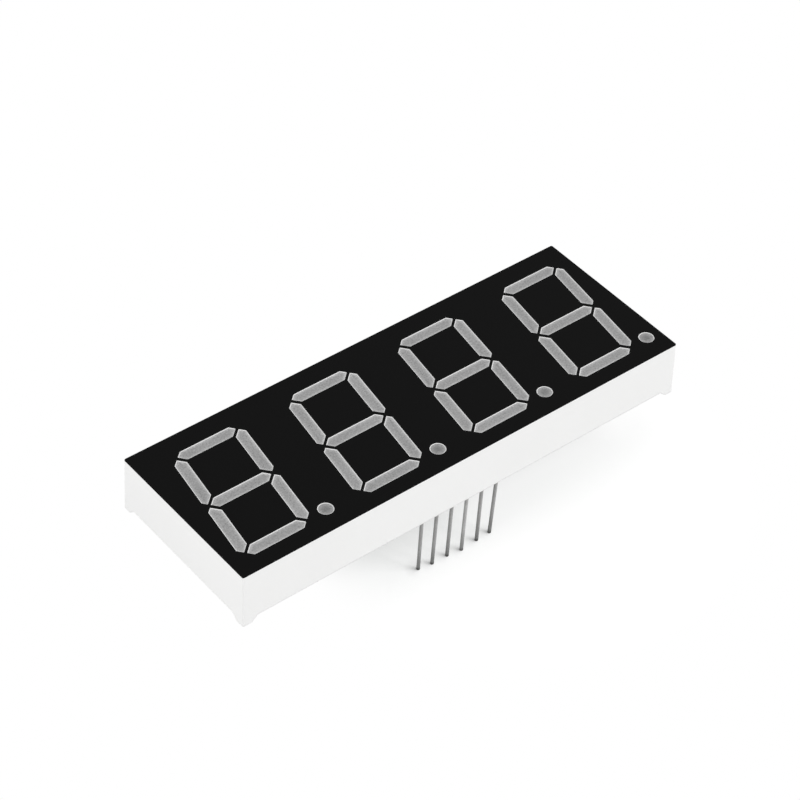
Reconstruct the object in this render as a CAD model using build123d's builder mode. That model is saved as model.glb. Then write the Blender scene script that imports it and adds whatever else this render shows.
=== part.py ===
"""Four-digit seven segment display module that stands on its two rows of pins.

X runs along the digits from left to right, Y towards the tops of the digits and Z out of the face.
The origin lies under the middle of the module, at the height of the pin tips. Lengths are in
millimetres and angles in degrees.
"""
import os
from math import radians, sqrt, tan

from build123d import *

os.makedirs("parts", exist_ok=True)

# Digits
digit_count = 4
digit_height = 20.32  # over the outer edges of the top and bottom bars
column_spacing = 9.42  # between the centre lines of the left and right bars
stroke = 1.8
segment_gap = 0.4
slant = 8.4
digit_spacing = 3.58  # clear space between one digit's point and the next digit
digit_drop = 0.3  # how far the digits lie below the middle of the face

# Decimal points
dot_diameter = 2.2
dot_gap = 1.1

# Housing
left_margin = 1.9
right_margin = 1.22
wall = 0.65
wall_draft = 1.3
corner_round = 0.25
plate = 1.2  # front plate of the housing, behind the black face
funnel_depth = 5.4
funnel_wall = 0.7
funnel_rim = 0.13  # white edge left bare between the black face and the resin
funnel_draft = 3.0
face_coat = 0.1

# Feet
foot_height = 0.85
foot_flat = 1.35
foot_slope = 0.95
foot_round = 0.3

# Circuit board
board_thickness = 1.6
board_recess = 0.6  # from the rim of the housing up to the back of the board
board_clearance = 0.1
board_edge = 0.56  # board left outside the pin holes

# LED chips
chip_side = 0.35
chip_height = 0.2

# Pins
pin_rows = 2
pins_per_row = 6
pin_pitch = 2.54
row_gap = 2.54  # by how much the pin rows lie further apart than the digits are high
pin_diameter = 0.5
pin_reach = 10.45  # from the feet of the housing down to the pin tips
pin_stub = 0.5  # what stands out on the chip side of the board
solder_height = 0.6
solder_spread = 0.5  # how far the solder reaches out from the pin on the board

# One overrun for all cuts
overrun = 1.0

# Heights above the pin tips
foot_z = pin_reach
rim_z = foot_z + foot_height
board_back_z = rim_z + board_recess
board_front_z = board_back_z + board_thickness
front_z = board_front_z + funnel_depth
plate_back_z = front_z - plate

# Digit layout, measured from the middle of a digit
lean = tan(radians(slant))
half_column = column_spacing / 2
half_row = (digit_height - stroke) / 2
half_digit = (column_spacing + stroke) / 2
dot_radius = dot_diameter / 2
dot_y = dot_radius - digit_height / 2
dot_x = half_digit + dot_y * lean + dot_gap + dot_radius
left_reach = half_digit + half_row * lean
right_reach = dot_x + dot_radius
boss_side = 2 * (dot_radius - funnel_rim + funnel_wall)
digit_pitch = left_reach + right_reach + digit_spacing

# Module layout
row_spacing = digit_height + row_gap
pin_radius = pin_diameter / 2
board_width = row_spacing + 2 * (pin_radius + board_edge)
wall_growth = tan(radians(wall_draft))  # outward lean of the walls for each millimetre down
seat_width = board_width + 2 * (board_clearance + wall)
face_width = seat_width - 2 * wall_growth * (front_z - board_front_z)
digits_length = (digit_count - 1) * digit_pitch + left_reach + right_reach
face_length = left_margin + digits_length + right_margin
first_digit_x = left_margin + left_reach - face_length / 2

SEGMENTS = ("a", "b", "c", "d", "e", "f", "g")
LIGHTS = (*SEGMENTS, "point")


def wall_size(height, inset):
    """Length and width over the drafted walls at a height, drawn in by an inset."""
    growth = 2 * (wall_growth * (front_z - height) - inset)
    return face_length + growth, face_width + growth


def digit_plane(digit, height):
    """The plane at a height whose origin is the middle of a digit."""
    return Plane(origin=(first_digit_x + digit * digit_pitch, -digit_drop, height))


def segment_middle(segment):
    """The middle of a segment on an upright digit."""
    middles = {
        "a": (0, half_row),
        "b": (half_column, half_row / 2),
        "c": (half_column, -half_row / 2),
        "d": (0, -half_row),
        "e": (-half_column, -half_row / 2),
        "f": (-half_column, half_row / 2),
        "g": (0, 0),
    }
    return middles[segment]


def bar_corners(segment, inset):
    """The corners of a segment on an upright digit, with every edge drawn in by an inset.

    The bars end in 45 degree mitres, and the outer corners of the digit are cut off by one stroke.
    Lines at 45 degrees are written as the sum or the difference of Y and X along them.
    """
    half_bar = stroke / 2 - inset
    slip = inset * sqrt(2)
    parting = (segment_gap / 2 + inset) * sqrt(2)
    corner_line = digit_height / 2 + half_digit - stroke - slip
    if segment == "g":
        tip = half_column - slip
        right = [(tip - half_bar, -half_bar), (tip, 0), (tip - half_bar, half_bar)]
        return right + [(-x, -y) for x, y in right]
    if segment in "ad":
        mitre = half_row - half_column + parting
        top = half_row + half_bar
        bottom = half_row - half_bar
        left = [
            (top - corner_line, top),
            ((mitre - corner_line) / 2, (mitre + corner_line) / 2),
            (mitre - bottom, bottom),
        ]
        corners = left + [(-x, y) for x, y in reversed(left)]
    else:
        mitre = half_row - half_column - parting
        outer = -half_column - half_bar
        inner = -half_column + half_bar
        waist_mitre = half_column + segment_gap * sqrt(2) + slip
        waist_line = slip - half_column
        corners = [
            (outer, corner_line + outer),
            (outer, waist_line - outer),
            ((waist_line - waist_mitre) / 2, (waist_line + waist_mitre) / 2),
            (inner, waist_mitre + inner),
            (inner, mitre - inner),
            ((mitre - corner_line) / 2, (mitre + corner_line) / 2),
        ]
    across = -1 if segment in "bc" else 1
    along = -1 if segment in "cde" else 1
    return [(across * x, along * y) for x, y in corners]


def slanted(points):
    """Points of an upright digit, moved sideways by the slant of the digits."""
    return [(x + y * lean, y) for x, y in points]


def draw_light(light, inset):
    """The outline of a segment or point on its digit's plane, drawn in by an inset."""
    with BuildSketch() as outline:
        if light in SEGMENTS:
            with BuildLine():
                Polyline(*slanted(bar_corners(light, inset)), close=True)
            make_face()
        else:
            with Locations((dot_x, dot_y)):
                Circle(dot_radius - inset)
    return outline.sketch


def draw_wall(light):
    """The outline of the moulding round a light: even walls along a segment, a square boss at a point."""
    if light in SEGMENTS:
        return draw_light(light, funnel_rim - funnel_wall)
    with BuildSketch() as boss:
        with Locations((dot_x, dot_y)):
            Rectangle(boss_side, boss_side)
    return boss.sketch


def funnel(digit, light, outline):
    """A body from a light's mouth to the board, which narrows at a segment and is straight at a point."""
    mouth = digit_plane(digit, front_z)
    with BuildPart() as body:
        with BuildSketch(mouth):
            add(outline)
        extrude(amount=-funnel_depth)
        if light in SEGMENTS:
            draft(body.faces().filter_by(Axis.Z, reverse=True), mouth, -funnel_draft)
    return body.part


def chip_place(digit, light):
    """The place of a light's chip on the front of the board, under the middle of the light."""
    spot = slanted([segment_middle(light)])[0] if light in SEGMENTS else (dot_x, dot_y)
    return digit_plane(digit, board_front_z).origin + Vector(*spot)


# Hollow of the housing, behind its front plate and between its walls
with BuildPart() as hollow:
    with BuildSketch(Plane.XY.offset(plate_back_z)):
        Rectangle(*wall_size(plate_back_z, wall))
    extrude(amount=foot_z - overrun - plate_back_z)
    draft(hollow.faces().filter_by(Axis.Z, reverse=True), Plane.XY.offset(plate_back_z), wall_draft)

# Reflector housing: a drafted shell whose front plate carries one thin-walled funnel for each light
lights = [(digit, light) for digit in range(digit_count) for light in LIGHTS]
light_spaces = [funnel(digit, light, draw_light(light, funnel_rim)) for digit, light in lights]
light_walls = [funnel(digit, light, draw_wall(light)) for digit, light in lights]
with BuildPart() as housing:
    with BuildSketch(Plane.XY.offset(front_z)):
        Rectangle(face_length, face_width)
    extrude(amount=foot_z - front_z)
    draft(housing.faces().filter_by(Axis.Z, reverse=True), Plane.XY.offset(front_z), wall_draft)
    fillet(housing.edges().filter_by(Plane.XY, reverse=True), radius=corner_round)
    add(hollow.part, mode=Mode.SUBTRACT)
    add(light_walls)
    add(light_spaces, mode=Mode.SUBTRACT)
    # The rim is cut back between the four corner feet, on the long and on the short walls
    rim_length, rim_width = wall_size(foot_z, 0)
    for side, length, depth in ((Plane.XZ, rim_length, rim_width), (Plane.YZ, rim_width, rim_length)):
        low = length / 2 - foot_flat
        high = low - foot_slope
        with BuildSketch(side):
            with BuildLine():
                Polyline(
                    (-low, foot_z - overrun),
                    (-low, foot_z),
                    (-high, rim_z),
                    (high, rim_z),
                    (low, foot_z),
                    (low, foot_z - overrun),
                    close=True,
                )
            make_face()
            levels = vertices().group_by(Axis.Y)
            fillet(levels[1] + levels[2], radius=foot_round)
        extrude(amount=depth / 2 + overrun, both=True, mode=Mode.SUBTRACT)
housing.part.label = "reflector_housing"
export_step(housing.part, "parts/reflector_housing.step")

# Black face: a thin coat, open a rim wider than each funnel
windows = [draw_light(light, 0) for light in LIGHTS]
with BuildPart() as face:
    with BuildSketch(Plane.XY.offset(front_z)):
        Rectangle(face_length, face_width)
        fillet(vertices(), radius=corner_round)
    extrude(amount=face_coat)
    for digit in range(digit_count):
        with BuildSketch(digit_plane(digit, front_z)):
            add(windows)
        extrude(amount=face_coat + overrun, both=True, mode=Mode.SUBTRACT)
face.part.label = "black_face"
export_step(face.part, "parts/black_face.step")

# LED chips: one group for each digit, seated on the board
for digit in range(digit_count):
    with BuildPart() as chips:
        with Locations(*[chip_place(digit, light) for light in LIGHTS]):
            Box(chip_side, chip_side, chip_height, align=(Align.CENTER, Align.CENTER, Align.MIN))
    chips.part.label = f"digit_{digit + 1}_chips"
    export_step(chips.part, f"parts/digit_{digit + 1}_chips.step")

# Segments and points: diffusing resin that fills each funnel and closes round its chip
for (digit, light), space in zip(lights, light_spaces):
    with BuildPart() as resin:
        add(space)
        with Locations(chip_place(digit, light)):
            Box(chip_side, chip_side, 2 * chip_height, mode=Mode.SUBTRACT)
    name = f"segment_{light}" if light in SEGMENTS else light
    resin.part.label = f"digit_{digit + 1}_{name}"
    export_step(resin.part, f"parts/digit_{digit + 1}_{name}.step")

# Circuit board: drops into the back of the housing and seats on the ends of the funnels
with BuildPart() as board:
    with BuildSketch(Plane.XY.offset(board_back_z)):
        Rectangle(*wall_size(board_front_z, wall + board_clearance))
        with GridLocations(pin_pitch, row_spacing, pins_per_row, pin_rows):
            Circle(pin_radius, mode=Mode.SUBTRACT)
    extrude(amount=board_thickness)
board.part.label = "circuit_board"
export_step(board.part, "parts/circuit_board.step")

# Pins: cut tinned wire, each with the solder that holds it in the board, numbered round the module
with GridLocations(pin_pitch, row_spacing, pins_per_row, pin_rows) as pin_grid:
    pin_spots = sorted(pin_grid.locations, key=lambda spot: (spot.position.Y, spot.position.X))
lower_row = pin_spots[:pins_per_row]
upper_row = pin_spots[pins_per_row:]
pin_top_z = board_front_z + pin_stub
for number, spot in enumerate(lower_row + upper_row[::-1], start=1):
    upright = Plane(origin=spot.position, x_dir=Plane.XZ.x_dir, z_dir=Plane.XZ.z_dir)
    with BuildPart() as pin:
        with BuildSketch(upright):
            with BuildLine():
                Polyline(
                    (0, 0),
                    (pin_radius, 0),
                    (pin_radius, board_back_z - solder_height),
                    (pin_radius + solder_spread, board_back_z),
                    (pin_radius, board_back_z),
                    (pin_radius, pin_top_z),
                    (0, pin_top_z),
                    close=True,
                )
            make_face()
        revolve(axis=Axis(spot.position, Axis.Z.direction))
    pin.part.label = f"pin_{number}"
    export_step(pin.part, f"parts/pin_{number}.step")
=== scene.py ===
"""Looks of the four-digit seven segment display module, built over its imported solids.

Lengths are in metres, in the frame of the solids: X runs along the digits from left to right, Y
towards their tops and Z out of the face. The pin tips stand on the floor at Z = 0.
"""
import logging
import math
import random
from dataclasses import dataclass
from enum import Enum
from typing import Iterator, Mapping, Sequence

import bmesh
import bpy
from mathutils import Matrix, Vector


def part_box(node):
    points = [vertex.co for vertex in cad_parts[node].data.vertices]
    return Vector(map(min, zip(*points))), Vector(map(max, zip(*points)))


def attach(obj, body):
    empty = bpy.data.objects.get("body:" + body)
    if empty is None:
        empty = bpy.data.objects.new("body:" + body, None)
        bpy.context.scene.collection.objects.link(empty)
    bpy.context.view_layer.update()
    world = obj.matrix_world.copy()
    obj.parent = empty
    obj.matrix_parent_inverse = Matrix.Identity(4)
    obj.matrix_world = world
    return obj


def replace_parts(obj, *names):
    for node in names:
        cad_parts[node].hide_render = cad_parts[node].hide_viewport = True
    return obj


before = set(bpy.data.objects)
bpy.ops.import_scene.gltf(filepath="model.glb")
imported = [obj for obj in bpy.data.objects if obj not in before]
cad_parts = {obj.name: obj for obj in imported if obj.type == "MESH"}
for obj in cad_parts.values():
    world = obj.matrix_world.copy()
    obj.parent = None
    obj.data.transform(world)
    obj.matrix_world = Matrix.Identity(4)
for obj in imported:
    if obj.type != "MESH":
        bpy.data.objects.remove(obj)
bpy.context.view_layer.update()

LOG = logging.getLogger("display_module")
MM = 0.001
BODY = "root"
RIM = "rim"
WHITE = (1.0, 1.0, 1.0, 1.0)
SMOOTH_ANGLE = 40.0
EDGE_SAMPLES = 6
NOISE_MIDDLE = 0.5
# The length in which a wave texture repeats at a scale of 1
WAVE_LENGTH = math.tau / 20

Colour = tuple[float, float, float]
Point = tuple[float, float]


class Slot(Enum):
    """Names of three material slots in the record."""

    RESIN = "resin"
    BOARD = "board"
    PIN = "pin"


class MixSocket(Enum):
    """Numbers of the colour sockets on a Mix node, whose names are shared with other data types."""

    FACTOR = 0
    FIRST = 6
    SECOND = 7
    RESULT = 2


class Detail(Enum):
    """How many finer layers a noise has."""

    SOFT = 1.0
    MEDIUM = 2.0
    FINE = 3.0


class Value:
    """One number at each point of a surface, whose operators add Math nodes to its graph."""

    def __init__(self, graph: "Graph", socket: bpy.types.NodeSocket) -> None:
        """Wraps an output socket of a graph."""
        self.graph = graph
        self.socket = socket

    def __add__(self, other: "Number") -> "Value":
        """Returns the sum."""
        return self.graph.math("ADD", self, other)

    def __sub__(self, other: "Number") -> "Value":
        """Returns the difference."""
        return self.graph.math("SUBTRACT", self, other)

    def __rsub__(self, other: "Number") -> "Value":
        """Returns the difference of a plain number and this value."""
        return self.graph.math("SUBTRACT", other, self)

    def __mul__(self, other: "Number") -> "Value":
        """Returns the product."""
        return self.graph.math("MULTIPLY", self, other)

    __radd__ = __add__
    __rmul__ = __mul__

    def between(self, low: float, high: float) -> "Value":
        """Makes a smooth step of this value.

        Args:
            low: The number at and below which the step is 0.
            high: The number at and above which it is 1.

        Returns:
            The step.
        """
        settings = {"interpolation_type": "SMOOTHSTEP"}
        sockets = {"Value": self, "From Min": low, "From Max": high}
        return self.graph.value("MapRange", settings, sockets)

    def largest(self, other: "Number") -> "Value":
        """Returns the larger of two values."""
        return self.graph.math("MAXIMUM", self, other)


Number = float | Value
SocketInput = float | Sequence[float] | Value | bpy.types.NodeSocket


class Graph:
    """The node tree of one material or of the world."""

    def __init__(self, tree: bpy.types.NodeTree) -> None:
        """Empties a tree and keeps it."""
        self.tree = tree
        tree.nodes.clear()

    def node(
        self,
        kind: str,
        settings: Mapping[str, object] | None = None,
        sockets: Mapping[str | int, SocketInput] | None = None,
    ) -> bpy.types.Node:
        """Adds a node.

        Args:
            kind: The node's type, without the prefix that all of them share.
            settings: Its properties, which are set before its sockets.
            sockets: Numbers, colours or links for its inputs, by name or by number.

        Returns:
            The new node.
        """
        node = self.tree.nodes.new(f"ShaderNode{kind}")
        for name, setting in (settings or {}).items():
            setattr(node, name, setting)
        for key, given in (sockets or {}).items():
            if isinstance(given, Value):
                self.tree.links.new(given.socket, node.inputs[key])
            elif isinstance(given, bpy.types.NodeSocket):
                self.tree.links.new(given, node.inputs[key])
            else:
                node.inputs[key].default_value = given
        return node

    def value(
        self,
        kind: str,
        settings: Mapping[str, object] | None = None,
        sockets: Mapping[str | int, SocketInput] | None = None,
        output: str | int = 0,
    ) -> Value:
        """Adds a node and returns one of its outputs, given by name or number, as a value."""
        return Value(self, self.node(kind, settings, sockets).outputs[output])

    def math(self, operation: str, first: Number, second: Number) -> Value:
        """Returns the result of a Math node on two values."""
        return self.value("Math", {"operation": operation}, {0: first, 1: second})

    def place(self) -> bpy.types.NodeSocket:
        """Returns the place of a point on the object, in metres."""
        return self.node("TexCoord").outputs["Object"]

    def coordinate(self, axis: str) -> Value:
        """Returns the X, Y or Z of a point on the object, in metres."""
        return self.value("SeparateXYZ", None, {"Vector": self.place()}, axis)

    def stretched(self, stretch: Sequence[float]) -> bpy.types.NodeSocket:
        """Returns the place of a point, multiplied along each axis."""
        sockets = {0: self.place(), 1: stretch}
        return self.node("VectorMath", {"operation": "MULTIPLY"}, sockets).outputs[0]

    def noise(
        self,
        size: float,
        detail: Detail = Detail.MEDIUM,
        place: bpy.types.NodeSocket | None = None,
    ) -> Value:
        """Returns a noise from about -0.5 to 0.5, whose largest patches have a size in metres."""
        sockets = {"Vector": place or self.place(), "Scale": 1 / size, "Detail": detail.value}
        return self.value("TexNoise", None, sockets) - NOISE_MIDDLE

    def tint(self, colour: Colour | bpy.types.NodeSocket, tone: Value) -> bpy.types.NodeSocket:
        """Returns a colour, made lighter or darker by a tone."""
        sockets = {"Vector": colour, "Scale": tone}
        return self.node("VectorMath", {"operation": "SCALE"}, sockets).outputs[0]

    def mix(
        self,
        factor: Value,
        first: Colour | bpy.types.NodeSocket,
        second: Colour | bpy.types.NodeSocket,
    ) -> bpy.types.NodeSocket:
        """Mixes two colours.

        Args:
            factor: 0 for the first colour and 1 for the second.
            first: A colour or its socket.
            second: A colour or its socket.

        Returns:
            The mixed colour.
        """
        sockets: dict[int, SocketInput] = {MixSocket.FACTOR.value: factor}
        for key, colour in ((MixSocket.FIRST, first), (MixSocket.SECOND, second)):
            is_socket = isinstance(colour, bpy.types.NodeSocket)
            sockets[key.value] = colour if is_socket else (*colour, 1.0)
        return self.node("Mix", {"data_type": "RGBA"}, sockets).outputs[MixSocket.RESULT.value]

    def bump(self, relief: Value, depth: float, edge_round: float = 0.0) -> bpy.types.NodeSocket:
        """Adds a relief to the surface.

        Args:
            relief: The height of the relief, in shares of its depth.
            depth: The depth of the relief, in metres.
            edge_round: The radius by which sharp edges look rounded, in metres.

        Returns:
            The normal.
        """
        sockets: dict[str, SocketInput] = {"Height": relief, "Distance": depth}
        if edge_round:
            rounded = self.node("Bevel", {"samples": EDGE_SAMPLES}, {"Radius": edge_round})
            sockets["Normal"] = rounded.outputs[0]
        return self.node("Bump", None, sockets).outputs[0]

    def background_ray(self) -> Value:
        """Finds the rays that show a background.

        Returns:
            1 for rays that come straight, mirrored or let through, and 0 for others.
        """
        rays = self.node("LightPath").outputs
        straight = Value(self, rays["Is Camera Ray"])
        mirrored = Value(self, rays["Is Glossy Ray"])
        return straight.largest(mirrored).largest(Value(self, rays["Is Transmission Ray"]))

    def blend(self, factor: Value, first: bpy.types.Node, second: bpy.types.Node) -> bpy.types.Node:
        """Returns a shader that is the first one where the factor is 0 and the second where it is 1."""
        sockets = {0: factor, 1: first.outputs[0], 2: second.outputs[0]}
        return self.node("MixShader", None, sockets)

    def surface(self, sockets: Mapping[str, SocketInput]) -> None:
        """Ends a material in one surface shader with these inputs."""
        shader = self.node("BsdfPrincipled", None, sockets)
        self.node("OutputMaterial", None, {"Surface": shader.outputs[0]})


def heading(azimuth: float, elevation: float) -> Vector:
    """Turns two angles into a direction.

    Args:
        azimuth: The angle round the module in degrees, 0 in front and 90 on the right.
        elevation: The angle above the floor in degrees.

    Returns:
        The direction from the module, of length 1.
    """
    turn = math.radians(azimuth)
    rise = math.radians(elevation)
    return Vector((
        math.sin(turn) * math.cos(rise),
        -math.cos(turn) * math.cos(rise),
        math.sin(rise),
    ))


@dataclass(frozen=True)
class Finish:
    """What all finishes share: a name, and the way to a material."""

    name: str

    def material(self) -> bpy.types.Material:
        """Makes a new material of this finish.

        Returns:
            The material, with its nodes.
        """
        material = bpy.data.materials.new(self.name)
        material.use_nodes = True
        self.paint(Graph(material.node_tree))
        return material

    def paint(self, graph: Graph) -> None:
        """Adds the nodes of this finish to an empty graph."""
        raise NotImplementedError


@dataclass(frozen=True)
class SatinMoulding(Finish):
    """White moulded plastic with a fine spark-eroded grain and soft edges."""

    name: str = "satin_white_moulding"
    colour: Colour = (0.90, 0.90, 0.895)
    roughness: float = 0.42
    specular: float = 0.35
    grain_size: float = 0.11 * MM
    grain_depth: float = 0.006 * MM
    cloud_size: float = 9.0 * MM
    edge_round: float = 0.18 * MM
    tone_by_grain: float = 0.025
    tone_by_cloud: float = 0.03
    roughness_by_grain: float = 0.12
    roughness_by_cloud: float = 0.08

    def paint(self, graph: Graph) -> None:
        """Adds flow clouds in the tone and the grain of the mould.

        Args:
            graph: The empty graph of the material.
        """
        grain = graph.noise(self.grain_size, Detail.FINE)
        cloud = graph.noise(self.cloud_size, Detail.SOFT)
        tone = 1 + cloud * self.tone_by_cloud + grain * self.tone_by_grain
        roughness = self.roughness + cloud * self.roughness_by_cloud + grain * self.roughness_by_grain
        graph.surface({
            "Base Color": graph.tint(self.colour, tone),
            "Roughness": roughness,
            "Normal": graph.bump(grain, self.grain_depth, self.edge_round),
            "Specular IOR Level": self.specular,
        })


@dataclass(frozen=True)
class BlackPrint(Finish):
    """Matte black ink, laid on in one pass, with a faint peel."""

    name: str = "matte_black_print"
    colour: Colour = (0.003, 0.003, 0.003)
    roughness: float = 0.62
    specular: float = 0.04
    peel_size: float = 0.16 * MM
    peel_depth: float = 0.004 * MM
    cloud_size: float = 6.0 * MM
    tone_by_peel: float = 0.5
    tone_by_cloud: float = 0.25
    roughness_by_peel: float = 0.14
    roughness_by_cloud: float = 0.10

    def paint(self, graph: Graph) -> None:
        """Adds the peel of the ink and slow changes in how matte it is.

        Args:
            graph: The empty graph of the material.
        """
        peel = graph.noise(self.peel_size, Detail.FINE)
        cloud = graph.noise(self.cloud_size)
        tone = 1 + peel * self.tone_by_peel + cloud * self.tone_by_cloud
        roughness = self.roughness + cloud * self.roughness_by_cloud + peel * self.roughness_by_peel
        graph.surface({
            "Base Color": graph.tint(self.colour, tone),
            "Roughness": roughness,
            "Normal": graph.bump(peel, self.peel_depth),
            "Specular IOR Level": self.specular,
        })


@dataclass(frozen=True)
class DiffusingResin(Finish):
    """Milky cast resin, clouded by the grains that spread the light of its chip.

    Towards the rim of a light it is painted paler: partly because the white wall of the funnel shows
    through the thinner resin, partly as painted light for the glow and shading near the wall.
    """

    name: str = "diffusing_resin"
    colour: Colour = (0.281, 0.281, 0.281)
    rim_gain: float = 0.52
    roughness: float = 0.46
    specular: float = 0.4
    grain_size: float = 0.27 * MM
    grain_depth: float = 0.006 * MM
    speck_size: float = 0.14 * MM
    speck_relief: float = 0.5
    cloud_size: float = 4.5 * MM
    tone_by_grain: float = 0.95
    tone_by_speck: float = 0.75
    tone_by_cloud: float = 0.3
    roughness_by_grain: float = 0.2

    def paint(self, graph: Graph) -> None:
        """Adds coarse and fine grains, slow clouds and the pale rim to the resin.

        Args:
            graph: The empty graph of the material.
        """
        grain = graph.noise(self.grain_size)
        speck = graph.noise(self.speck_size, Detail.SOFT)
        cloud = graph.noise(self.cloud_size, Detail.SOFT)
        rim = graph.value("Attribute", {"attribute_name": RIM}, None, "Fac")
        mottle = grain * self.tone_by_grain + speck * self.tone_by_speck + cloud * self.tone_by_cloud
        # Painted light in part: the resin is paler towards the rim, where the white funnel wall also
        # shows through.
        tone = (1 + rim * self.rim_gain) * (1 + mottle)
        graph.surface({
            "Base Color": graph.tint(self.colour, tone),
            "Roughness": self.roughness + grain * self.roughness_by_grain,
            "Normal": graph.bump(grain + speck * self.speck_relief, self.grain_depth),
            "Specular IOR Level": self.specular,
        })


@dataclass(frozen=True)
class SolderMask(Finish):
    """Green lacquer over glass cloth, or over copper where the tracks run."""

    name: str = "green_solder_mask"
    colour: Colour = (0.012, 0.052, 0.026)
    roughness: float = 0.33
    weave_size: float = 0.5 * MM
    weave_wander: float = 0.4
    weave_relief: float = 0.3
    cloud_size: float = 5.0 * MM
    peel_size: float = 0.35 * MM
    relief_depth: float = 0.008 * MM
    tone_by_weave: float = 0.16
    tone_by_cloud: float = 0.25
    tone_by_peel: float = 0.12
    roughness_by_cloud: float = 0.12
    roughness_by_peel: float = 0.1

    def weave(self, graph: Graph, direction: str) -> Value:
        """Adds the threads of the glass cloth that lie side by side along an axis.

        Args:
            graph: The graph of the material.
            direction: The axis, X or Y.

        Returns:
            The threads, from 0 between two of them to 1 on the crest of one.
        """
        settings = {"wave_type": "BANDS", "bands_direction": direction, "wave_profile": "SIN"}
        scale = WAVE_LENGTH / self.weave_size
        sockets = {"Vector": graph.place(), "Scale": scale, "Distortion": self.weave_wander}
        return graph.value("TexWave", settings, sockets)

    def paint(self, graph: Graph) -> None:
        """Adds the cloth that shows through the lacquer, its clouds and its peel.

        Args:
            graph: The empty graph of the material.
        """
        cloth = self.weave(graph, "X") * self.weave(graph, "Y")
        cloud = graph.noise(self.cloud_size)
        peel = graph.noise(self.peel_size)
        tone = 1 + cloth * self.tone_by_weave + cloud * self.tone_by_cloud + peel * self.tone_by_peel
        roughness = self.roughness + cloud * self.roughness_by_cloud + peel * self.roughness_by_peel
        graph.surface({
            "Base Color": graph.tint(self.colour, tone),
            "Roughness": roughness,
            "Normal": graph.bump(peel + cloth * self.weave_relief, self.relief_depth),
        })


@dataclass(frozen=True)
class TinnedWire(Finish):
    """Dull tinned wire, drawn lengthwise.

    It is darker towards its cut tip, partly the bare metal of the cut and partly painted shade where it
    meets the floor. It is also darker towards the bottom, and bright where solder wets it.
    """

    name: str = "tinned_wire"
    colour: Colour = (0.42, 0.42, 0.416)
    # The colour of the bare cut, which also serves as painted shade where the pin meets the floor.
    cut_and_shade_colour: Colour = (0.13, 0.127, 0.124)
    solder_colour: Colour = (0.50, 0.50, 0.495)
    roughness: float = 0.6
    specular: float = 0.12
    metal_share: float = 0.1
    streak_size: float = 0.07 * MM
    streak_stretch: float = 0.06
    patch_size: float = 0.8 * MM
    relief_depth: float = 0.006 * MM
    cut_height: float = 0.05 * MM
    bare_and_shade_height: float = 0.75 * MM
    darkening_from: float = 0.2 * MM
    darkening_to: float = 4.6 * MM
    darkening_share: float = 0.36
    solder_from: float = 11.2 * MM
    solder_to: float = 11.5 * MM
    tone_by_streak: float = 0.4
    tone_by_patch: float = 0.3
    roughness_by_patch: float = 0.2
    roughness_by_cut: float = 0.2
    roughness_by_solder: float = -0.2

    def paint(self, graph: Graph) -> None:
        """Adds drawing streaks, dull patches, a darkening towards the bottom, the cut tip with its
        painted shade, and the solder.

        Args:
            graph: The empty graph of the material.
        """
        lengthwise = graph.stretched((1.0, 1.0, self.streak_stretch))
        streak = graph.noise(self.streak_size, Detail.SOFT, lengthwise)
        patch = graph.noise(self.patch_size)
        height = graph.coordinate("Z")
        # Painted shade: the tip and the lowest part of the side are darker, partly the bare cut and
        # partly a stand-in for the shade where the pin meets the floor.
        bare_and_shade = 1 - height.between(self.cut_height, self.bare_and_shade_height)
        # Darker towards the bottom of the pin, fading out a few millimetres above the tip.
        lower_darkening = 1 - height.between(self.darkening_from, self.darkening_to)
        solder = height.between(self.solder_from, self.solder_to)
        wire = graph.mix(bare_and_shade, self.colour, self.cut_and_shade_colour)
        metal = graph.mix(solder, wire, self.solder_colour)
        mottle = 1 + streak * self.tone_by_streak + patch * self.tone_by_patch
        tone = mottle * (1 - lower_darkening * self.darkening_share)
        roughness = self.roughness + patch * self.roughness_by_patch
        roughness = roughness + bare_and_shade * self.roughness_by_cut + solder * self.roughness_by_solder
        graph.surface({
            "Base Color": graph.tint(metal, tone),
            "Metallic": self.metal_share + solder * (1 - self.metal_share),
            "Roughness": roughness,
            "Normal": graph.bump(streak * (1 - solder) + patch, self.relief_depth),
            "Specular IOR Level": self.specular,
        })


@dataclass(frozen=True)
class TinnedPad(Finish):
    """Tinned copper, levelled by hot air and slightly uneven."""

    name: str = "tinned_pad"
    colour: Colour = (0.55, 0.55, 0.54)
    roughness: float = 0.3
    patch_size: float = 0.5 * MM
    relief_depth: float = 0.02 * MM
    tone_by_patch: float = 0.25
    roughness_by_patch: float = 0.2

    def paint(self, graph: Graph) -> None:
        """Adds the soft unevenness of the tin.

        Args:
            graph: The empty graph of the material.
        """
        patch = graph.noise(self.patch_size)
        graph.surface({
            "Base Color": graph.tint(self.colour, 1 + patch * self.tone_by_patch),
            "Metallic": 1.0,
            "Roughness": self.roughness + patch * self.roughness_by_patch,
            "Normal": graph.bump(patch, self.relief_depth),
        })


@dataclass(frozen=True)
class BareChip(Finish):
    """A sawn semiconductor chip with a faintly rough top."""

    name: str = "bare_chip"
    colour: Colour = (0.36, 0.38, 0.42)
    roughness: float = 0.28
    coat: float = 0.3
    saw_size: float = 0.03 * MM
    saw_stretch: float = 6.0
    relief_depth: float = 0.002 * MM
    tone_by_saw: float = 0.3
    roughness_by_saw: float = 0.2

    def paint(self, graph: Graph) -> None:
        """Adds the marks of the saw.

        Args:
            graph: The empty graph of the material.
        """
        level = graph.stretched((1.0, 1.0, self.saw_stretch))
        saw = graph.noise(self.saw_size, place=level)
        graph.surface({
            "Base Color": graph.tint(self.colour, 1 + saw * self.tone_by_saw),
            "Roughness": self.roughness + saw * self.roughness_by_saw,
            "Normal": graph.bump(saw, self.relief_depth),
            "Coat Weight": self.coat,
        })


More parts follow.
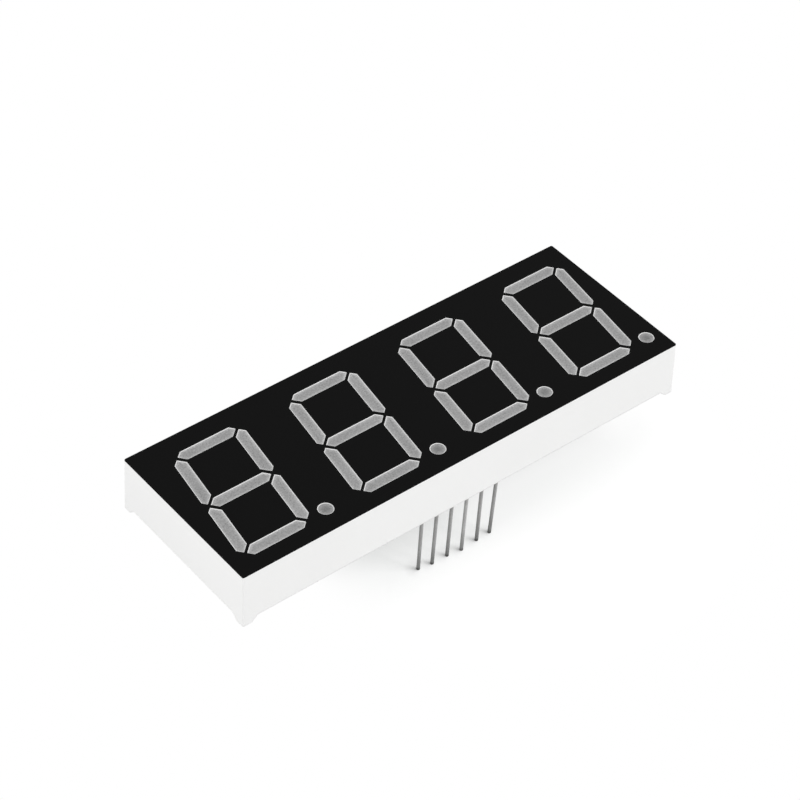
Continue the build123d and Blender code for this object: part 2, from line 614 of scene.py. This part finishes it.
@dataclass(frozen=True)
class PaleFloor(Finish):
    """A white table that keeps the module's soft shadow about the pins and is plain white further out.

    The shadow is painted paler under the right half of the module, as painted light from the side, and
    a painted shadow makes it darker close beside the pin tips.
    From below the table is open, so that the back of the module can be looked at.
    """

    name: str = "pale_floor"
    colour: Colour = (0.8, 0.8, 0.8)
    shaded_colour: Colour = (0.50, 0.50, 0.50)
    glow: float = 0.593
    grain_size: float = 3.0 * MM
    tone_by_grain: float = 0.02
    shadow_middle: Sequence[float] = (14.0 * MM, -6.0 * MM, 0.0)
    shadow_core: float = 22.0 * MM
    shadow_reach: float = 34.0 * MM
    lit_along: Sequence[float] = (0.0, 10.0 * MM)
    lit_across: Sequence[float] = (-9.0 * MM, -6.0 * MM)
    lit_share: float = 0.38
    contact_azimuth: float = 38.0
    contact_elevation: float = 30.0
    contact_reach: float = 1.7 * MM
    contact_samples: int = 16

    def contact(self, graph: Graph) -> Value:
        """Finds the floor close beside a pin, on the side away from the light.

        Args:
            graph: The graph of the material.

        Returns:
            0 where the floor is free, and more the closer a pin stands.
        """
        light = heading(self.contact_azimuth, self.contact_elevation)
        towards = graph.node("CombineXYZ", None, {"X": light.x, "Y": light.y, "Z": light.z})
        sockets = {"Distance": self.contact_reach, "Normal": towards.outputs[0]}
        free = graph.value("AmbientOcclusion", {"samples": self.contact_samples}, sockets, "AO")
        return 1 - free

    def paint(self, graph: Graph) -> None:
        """Adds a plain diffuse floor for the light and a pale one for the eye.

        Args:
            graph: The empty graph of the material.
        """
        tone = 1 + graph.noise(self.grain_size) * self.tone_by_grain
        plain = graph.node("BsdfDiffuse", None, {"Color": graph.tint(self.colour, tone)})
        shaded = graph.node("BsdfDiffuse", None, {"Color": graph.tint(self.shaded_colour, tone)})
        glow = graph.node("Emission", None, {"Strength": self.glow})
        white = graph.node("Emission", None, {"Strength": 1.0})
        dark = graph.node("Emission", None, {"Strength": 0.0})
        lit = graph.node("AddShader", None, {0: shaded.outputs[0], 1: glow.outputs[0]})
        # Painted shadow: the floor fades to black close beside a pin, on the side away from the light.
        near = graph.blend(self.contact(graph), lit, dark)
        sockets = {0: graph.place(), 1: self.shadow_middle}
        away = graph.value("VectorMath", {"operation": "DISTANCE"}, sockets, "Value")
        outer = away.between(self.shadow_core, self.shadow_reach)
        # Painted light: a mask lifts the shadow towards white under the right half of the module.
        lit_right = graph.coordinate("X").between(*self.lit_along)
        lit_under = graph.coordinate("Y").between(*self.lit_across)
        open_share = outer.largest(lit_right * lit_under * self.lit_share)
        pale = graph.blend(open_share, near, white)
        table = graph.blend(graph.background_ray(), plain, pale)
        below = graph.value("NewGeometry", None, None, "Backfacing")
        shown = graph.blend(below, table, graph.node("BsdfTransparent"))
        graph.node("OutputMaterial", None, {"Surface": shown.outputs[0]})


def dress(piece: bpy.types.Object, material: bpy.types.Material) -> None:
    """Gives a piece one material.

    Args:
        piece: A node of the solids, or a piece that the scene adds.
        material: The material for all of it.
    """
    if piece.material_slots:
        for place in piece.material_slots:
            place.material = material
    else:
        piece.data.materials.append(material)


def add_piece(
    name: str,
    mesh: bmesh.types.BMesh,
    material: bpy.types.Material,
) -> bpy.types.Object:
    """Turns a mesh into a piece that belongs to the module.

    Args:
        name: The piece's name.
        mesh: Its mesh in the frame of the solids, which is freed.
        material: Its material.

    Returns:
        The new piece.
    """
    bmesh.ops.recalc_face_normals(mesh, faces=mesh.faces)
    data = bpy.data.meshes.new(name)
    mesh.to_mesh(data)
    mesh.free()
    data.shade_smooth()
    data.set_sharp_from_angle(angle=math.radians(SMOOTH_ANGLE))
    piece = bpy.data.objects.new(name, data)
    bpy.context.scene.collection.objects.link(piece)
    dress(piece, material)
    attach(piece, BODY)
    LOG.info("added %s with %d faces", name, len(data.polygons))
    return piece


def lathe(mesh: bmesh.types.BMesh, profile: Sequence[Point], centre: Vector, steps: int) -> None:
    """Turns a profile round an upright axis and adds it to a mesh.

    Args:
        mesh: The mesh that gets the turned form.
        profile: Radius and height of its points. The first and last lie on the axis.
        centre: A point of the axis.
        steps: The number of steps round it.
    """
    rings: list[list[bmesh.types.BMVert]] = []
    for radius, height in profile:
        ring: list[bmesh.types.BMVert] = []
        count = steps if radius else 1
        for step in range(count):
            turn = math.tau * step / count
            x = centre.x + radius * math.cos(turn)
            y = centre.y + radius * math.sin(turn)
            ring.append(mesh.verts.new((x, y, height)))
        rings.append(ring)
    for lower, upper in zip(rings, rings[1:]):
        for step in range(steps):
            after = (step + 1) % steps
            corners = [lower[step % len(lower)], lower[after % len(lower)]]
            corners += [upper[after % len(upper)], upper[step % len(upper)]]
            mesh.faces.new(dict.fromkeys(corners))


def plate(
    mesh: bmesh.types.BMesh,
    outline: Sequence[Point],
    shoulder: Sequence[Point],
    base: float,
    crest: float,
) -> None:
    """Adds a closed plate with sloping sides to a mesh.

    Args:
        mesh: The mesh that gets the plate.
        outline: The outline of its base.
        shoulder: The outline of its crest, with as many points.
        base: The height of its base.
        crest: The height of its crest.
    """
    foot = [mesh.verts.new((x, y, base)) for x, y in outline]
    top = [mesh.verts.new((x, y, crest)) for x, y in shoulder]
    mesh.faces.new(foot)
    mesh.faces.new(top)
    for index, corner in enumerate(foot):
        after = (index + 1) % len(foot)
        mesh.faces.new((corner, foot[after], top[after], top[index]))


def stadium(start: Point, end: Point, radius: float, steps: int) -> list[Point]:
    """Draws the outline of a straight strip with round ends.

    Args:
        start: The middle of one end.
        end: The middle of the other end.
        radius: Half the strip's width.
        steps: The number of steps round each end.

    Returns:
        The points of the outline, in order.
    """
    course = math.atan2(end[1] - start[1], end[0] - start[0])
    outline: list[Point] = []
    for middle, turn in ((end, course - math.pi / 2), (start, course + math.pi / 2)):
        for step in range(steps + 1):
            angle = turn + math.pi * step / steps
            outline.append((middle[0] + radius * math.cos(angle), middle[1] + radius * math.sin(angle)))
    return outline


@dataclass
class Housing:
    """The white reflector housing and the black coat on its front."""

    node: str = "reflector_housing"
    coat_node: str = "black_face"
    moulding: Finish = SatinMoulding()
    coat: Finish = BlackPrint()

    def build(self) -> None:
        """Dresses the moulding and its coat."""
        dress(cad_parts[self.node], self.moulding.material())
        dress(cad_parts[self.coat_node], self.coat.material())
        LOG.info("dressed %s and %s", self.node, self.coat_node)


@dataclass
class Digits:
    """The resin of the segments and points, and the chips under them."""

    prefix: str = "digit_"
    chips_suffix: str = "chips"
    point_suffix: str = "point"
    weld: float = 0.001 * MM
    flat_angle: float = 1.0
    dish_width: float = 0.45 * MM
    point_dish_width: float = 0.75 * MM
    dish_depth: float = 0.03 * MM
    dish_steps: int = 6
    rim_fall: float = 1.5
    segment: Finish = DiffusingResin()
    point: Finish = DiffusingResin(name="point_resin", colour=(0.170, 0.170, 0.170), rim_gain=0.9)
    chip: Finish = BareChip()

    def cast(self, name: str, dish_width: float) -> bmesh.types.BMesh:
        """Casts the resin of one light, with the dish that it shrinks to as it sets.

        Args:
            name: The node of the light, whose form the cast keeps.
            dish_width: How far in from the rim the dish gets deeper.

        Returns:
            The mesh, with a layer that is 1 at the rim and falls to 0 at the bottom of the dish.
        """
        mesh = bmesh.new()
        mesh.from_mesh(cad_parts[name].data)
        bmesh.ops.remove_doubles(mesh, verts=mesh.verts, dist=self.weld)
        flat = math.radians(self.flat_angle)
        bmesh.ops.dissolve_limit(mesh, angle_limit=flat, verts=mesh.verts, edges=mesh.edges)
        rim = mesh.verts.layers.float.new(RIM)
        for vert in mesh.verts:
            vert[rim] = 1.0
        top = max(mesh.faces, key=lambda face: face.calc_center_median().z)
        level = top.calc_center_median().z
        for step in range(1, self.dish_steps + 1):
            share = step / self.dish_steps
            width = dish_width / self.dish_steps
            bmesh.ops.inset_region(mesh, faces=[top], thickness=width, use_even_offset=True)
            for vert in top.verts:
                vert.co.z = level - self.dish_depth * (1 - (1 - share) ** 2)
                vert[rim] = (1 - share) ** self.rim_fall
        return mesh

    def build(self) -> None:
        """Casts each light in the place of its solid and dresses the chips."""
        chip = self.chip.material()
        segment = self.segment.material()
        point = self.point.material()
        for name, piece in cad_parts.items():
            if not name.startswith(self.prefix):
                continue
            if name.endswith(self.chips_suffix):
                dress(piece, chip)
                LOG.info("dressed %s", name)
                continue
            is_point = name.endswith(self.point_suffix)
            cast = self.cast(name, self.point_dish_width if is_point else self.dish_width)
            resin = point if is_point else segment
            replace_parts(add_piece(f"{name}_resin", cast, resin), name)


@dataclass
class Pins:
    """The two rows of cut wire and the solder that holds them in the board."""

    prefix: str = "pin_"
    count: int = 12
    radius: float = 0.25 * MM
    cut_round: float = 0.05 * MM
    cut_share: float = 0.55
    end_round: float = 0.1 * MM
    solder_height: float = 0.6 * MM
    solder_spread: float = 0.5 * MM
    solder_spread_change: float = 0.06
    fillet_steps: int = 10
    steps: int = 36
    seed: int = 7
    stray: float = 0.12 * MM
    front_leans: Sequence[Point] = (
        (0.25 * MM, 0.56 * MM),
        (-0.18 * MM, 0.24 * MM),
        (-0.22 * MM, 0.18 * MM),
        (-0.54 * MM, -0.13 * MM),
        (-0.32 * MM, 0.04 * MM),
        (-0.53 * MM, 0.13 * MM),
    )
    # One pin is drawn brighter: partly tin that differs from pin to pin, partly painted light for a pin
    # that catches more light.
    bright_pin: str = "pin_4"
    finish: Finish = TinnedWire()
    bright_finish: Finish = TinnedWire(
        name="bright_tin_and_painted_light_wire", colour=(0.53, 0.53, 0.525), cut_and_shade_colour=(0.24, 0.236, 0.232)
    )

    def names(self) -> Iterator[str]:
        """Returns the names of the pins' nodes, in order."""
        return (f"{self.prefix}{number}" for number in range(1, self.count + 1))

    def middle(self, name: str) -> Vector:
        """Returns the middle of a pin's box."""
        low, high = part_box(name)
        return (low + high) / 2

    def profile(self, board_back: float, top: float, spread: float) -> list[Point]:
        """Draws the profile of a pin with its solder.

        Args:
            board_back: The height of the back of the board.
            top: The height of the pin's upper end.
            spread: How far the solder reaches out from the pin.

        Returns:
            Radius and height of its points, from the cut tip up.
        """
        corner = self.cut_round * (1 - self.cut_share)
        points = [
            (0.0, 0.0),
            (self.radius - self.cut_round, 0.0),
            (self.radius - corner, corner),
            (self.radius, self.cut_round),
        ]
        start = board_back - self.solder_height
        for step in range(self.fillet_steps + 1):
            turn = math.pi / 2 * step / self.fillet_steps
            points.append((
                self.radius + spread * (1 - math.cos(turn)),
                start + self.solder_height * math.sin(turn),
            ))
        points += [
            (self.radius, board_back),
            (self.radius, top - self.end_round),
            (self.radius - self.end_round, top),
            (0.0, top),
        ]
        return points

    def leans(self, draw: random.Random) -> list[Point]:
        """Says how far each pin's tip has strayed.

        Args:
            draw: The chance by which the hidden pins stray.

        Returns:
            How far each tip lies off along and across the module, as seen in front and drawn behind.
        """
        hidden = range(self.count - len(self.front_leans))
        strays = [(draw.uniform(-1, 1) * self.stray, draw.uniform(-1, 1) * self.stray) for _ in hidden]
        return [*self.front_leans, *strays]

    def bend(self, mesh: bmesh.types.BMesh, lean: Point, board_back: float) -> None:
        """Bends a straight pin.

        Args:
            mesh: The pin.
            lean: How far its tip moves along and across the module.
            board_back: The height of the back of the board, which holds it.
        """
        for vert in mesh.verts:
            share = max(0.0, 1 - vert.co.z / board_back)
            vert.co.x += lean[0] * share
            vert.co.y += lean[1] * share

    def build(self) -> None:
        """Turns each pin with its solder, in the place of its solid."""
        dull = self.finish.material()
        bright = self.bright_finish.material()
        draw = random.Random(self.seed)
        board_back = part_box(CircuitBoard.node)[0].z
        for name, lean in zip(self.names(), self.leans(draw)):
            spread = self.solder_spread * (1 - self.solder_spread_change * draw.random())
            profile = self.profile(board_back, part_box(name)[1].z, spread)
            mesh = bmesh.new()
            lathe(mesh, profile, self.middle(name), self.steps)
            self.bend(mesh, lean, board_back)
            material = bright if name == self.bright_pin else dull
            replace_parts(add_piece(f"{name}_wire", mesh, material), name)


@dataclass
class CircuitBoard:
    """The board that closes the back, with the copper on its outer side."""

    node: str = "circuit_board"
    copper: float = 0.035 * MM
    track_width: float = 0.45 * MM
    slope: float = 0.04 * MM
    end_steps: int = 8
    lane_count: int = 8
    lane_pitch: float = 1.6 * MM
    lane_margin: float = 6.0 * MM
    via_radius: float = 0.5 * MM
    via_hole: float = 0.2 * MM
    via_lift_share: float = 1.3
    via_dip_share: float = 0.4
    via_middle_share: float = 0.3
    via_steps: int = 24
    pad_radius: float = 0.74 * MM
    pad_length: float = 0.9 * MM
    pad_lift_share: float = 1.2
    lead_length: float = 2.4 * MM
    digit_count: int = 4
    lacquer: Finish = SolderMask()
    covered_copper: Finish = SolderMask(
        name="lacquered_copper", colour=(0.026, 0.105, 0.05), roughness=0.28, tone_by_weave=0.0
    )
    bare_copper: Finish = TinnedPad()

    def lanes(self) -> list[float]:
        """Returns the places across the board of the tracks that run along it."""
        middle = (self.lane_count - 1) / 2
        return [(lane - middle) * self.lane_pitch for lane in range(self.lane_count)]

    def digit_places(self, lane: int) -> list[float]:
        """Finds where a track goes through to each digit.

        Args:
            lane: The track's number.

        Returns:
            The places along the board, one for each digit.
        """
        low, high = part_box(self.node)
        share = (lane + 0.5) / self.lane_count
        pitch = (high.x - low.x - 2 * self.lane_margin) / self.digit_count
        return [low.x + self.lane_margin + pitch * (digit + share) for digit in range(self.digit_count)]

    def inward(self, pins: Pins, name: str, length: float) -> tuple[Point, Point]:
        """Returns the place of a pin, and the place that lies a length further in."""
        spot = pins.middle(name)
        return (spot.x, spot.y), (spot.x, spot.y - math.copysign(length, spot.y))

    def strip(
        self,
        mesh: bmesh.types.BMesh,
        start: Point,
        end: Point,
        radius: float,
        lift: float,
    ) -> None:
        """Adds a strip of copper to the back of the board.

        Args:
            mesh: The mesh that gets the strip.
            start: The middle of one end.
            end: The middle of the other end.
            radius: Half the strip's width.
            lift: How far the strip stands out.
        """
        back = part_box(self.node)[0].z
        outline = stadium(start, end, radius, self.end_steps)
        shoulder = stadium(start, end, radius - self.slope, self.end_steps)
        plate(mesh, outline, shoulder, back, back - lift)

    def build_tracks(self, pins: Pins) -> None:
        """Lays the tracks along the board and the leads from the pins.

        Args:
            pins: The pins, which say where the leads start.
        """
        mesh = bmesh.new()
        radius = self.track_width / 2
        for lane, across in enumerate(self.lanes()):
            places = self.digit_places(lane)
            self.strip(mesh, (places[0], across), (places[-1], across), radius, self.copper)
        for name in pins.names():
            self.strip(mesh, *self.inward(pins, name, self.lead_length), radius, self.copper)
        add_piece("board_tracks", mesh, self.covered_copper.material())

    def build_vias(self, pins: Pins) -> None:
        """Rings the plated holes where a track goes through the board.

        Args:
            pins: The pins, whose leads end in such holes.
        """
        mesh = bmesh.new()
        spots = [
            (place, across)
            for lane, across in enumerate(self.lanes())
            for place in self.digit_places(lane)
        ]
        spots += [self.inward(pins, name, self.lead_length)[1] for name in pins.names()]
        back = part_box(self.node)[0].z
        crest = back - self.via_lift_share * self.copper
        profile = [
            (0.0, back - self.via_middle_share * self.copper),
            (self.via_hole, back - self.via_dip_share * self.copper),
            (self.via_hole + self.slope, crest),
            (self.via_radius - self.slope, crest),
            (self.via_radius, back),
            (0.0, back),
        ]
        for x, y in spots:
            lathe(mesh, profile, Vector((x, y, back)), self.via_steps)
        add_piece("board_vias", mesh, self.covered_copper.material())

    def build_pads(self, pins: Pins) -> None:
        """Lays the oblong tinned pads under the solder of the pins.

        Args:
            pins: The pins, which say where the pads lie.
        """
        mesh = bmesh.new()
        lift = self.pad_lift_share * self.copper
        for name in pins.names():
            self.strip(mesh, *self.inward(pins, name, self.pad_length), self.pad_radius, lift)
        add_piece("board_pads", mesh, self.bare_copper.material())

    def build(self, pins: Pins) -> None:
        """Dresses the board and adds its copper.

        Args:
            pins: The pins that the board holds.
        """
        dress(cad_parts[self.node], self.lacquer.material())
        LOG.info("dressed %s", self.node)
        self.build_tracks(pins)
        self.build_vias(pins)
        self.build_pads(pins)


@dataclass(frozen=True)
class SoftLamp:
    """A square lamp that faces the module."""

    name: str
    azimuth: float
    elevation: float
    distance: float
    side: float
    level: float
    target: Sequence[float] = (0.0, 0.0, 15.0 * MM)

    def build(self) -> None:
        """Hangs the lamp and aims it."""
        data = bpy.data.lights.new(self.name, "AREA")
        data.shape = "SQUARE"
        data.size = self.side
        data.energy = self.level * (math.pi * self.distance) ** 2
        lamp = bpy.data.objects.new(self.name, data)
        away = heading(self.azimuth, self.elevation)
        lamp.location = Vector(self.target) + away * self.distance
        lamp.rotation_euler = away.to_track_quat("Z", "Y").to_euler()
        lamp.visible_camera = False
        bpy.context.scene.collection.objects.link(lamp)


@dataclass
class Studio:
    """The floor, the light and the camera."""

    floor_side: float = 3.0
    sky: float = 0.56
    sensor: float = 36.0
    lens: float = 119.5
    azimuth: float = -40.35
    elevation: float = 43.02
    roll: float = 2.70
    distance: float = 347.4 * MM
    clip_start: float = 10.0 * MM
    aim: Sequence[float] = (-0.85 * MM, 0.63 * MM, 19.05 * MM)
    floor: Finish = PaleFloor()
    lamps: Sequence[SoftLamp] = (
        SoftLamp("right_softbox", azimuth=38.0, elevation=48.0, distance=2.4, side=0.96, level=0.508),
        SoftLamp("left_softbox", azimuth=-92.0, elevation=25.0, distance=0.9, side=0.35, level=0.300),
    )

    def build_floor(self) -> None:
        """Lays the floor under the pin tips."""
        half = self.floor_side / 2
        data = bpy.data.meshes.new("floor")
        corners = [(-half, -half, 0.0), (half, -half, 0.0), (half, half, 0.0), (-half, half, 0.0)]
        data.from_pydata(corners, [], [(0, 1, 2, 3)])
        floor = bpy.data.objects.new("floor", data)
        bpy.context.scene.collection.objects.link(floor)
        dress(floor, self.floor.material())

    def build_sky(self) -> None:
        """Makes the world white to look at and a soft light for the module."""
        world = bpy.data.worlds.new("studio")
        world.use_nodes = True
        graph = Graph(world.node_tree)
        light = graph.node("Background", None, {"Color": WHITE, "Strength": self.sky})
        white = graph.node("Background", None, {"Color": WHITE, "Strength": 1.0})
        shown = graph.blend(graph.background_ray(), light, white)
        graph.node("OutputWorld", None, {"Surface": shown.outputs[0]})
        bpy.context.scene.world = world

    def build_camera(self) -> None:
        """Sets the camera at the viewing angle of the photograph."""
        data = bpy.data.cameras.new("camera")
        data.sensor_width = self.sensor
        data.lens = self.lens
        data.clip_start = self.clip_start
        camera = bpy.data.objects.new("camera", data)
        away = heading(self.azimuth, self.elevation)
        roll = Matrix.Rotation(math.radians(self.roll), 3, "Z")
        turn = away.to_track_quat("Z", "Y").to_matrix() @ roll
        camera.matrix_world = Matrix.LocRotScale(Vector(self.aim) + away * self.distance, turn, None)
        bpy.context.scene.collection.objects.link(camera)
        bpy.context.scene.camera = camera

    def build(self) -> None:
        """Sets up the whole studio."""
        bpy.context.scene.view_settings.view_transform = "Standard"
        self.build_floor()
        self.build_sky()
        for lamp in self.lamps:
            lamp.build()
        self.build_camera()
        LOG.info("set up the studio")


def main() -> None:
    """Builds the module's sub-assemblies in order and sets up the studio."""
    logging.basicConfig(level=logging.INFO, format="%(name)s: %(message)s")
    pins = Pins()
    Housing().build()
    Digits().build()
    CircuitBoard().build(pins)
    pins.build()
    Studio().build()


if __name__ == "__main__":
    main()
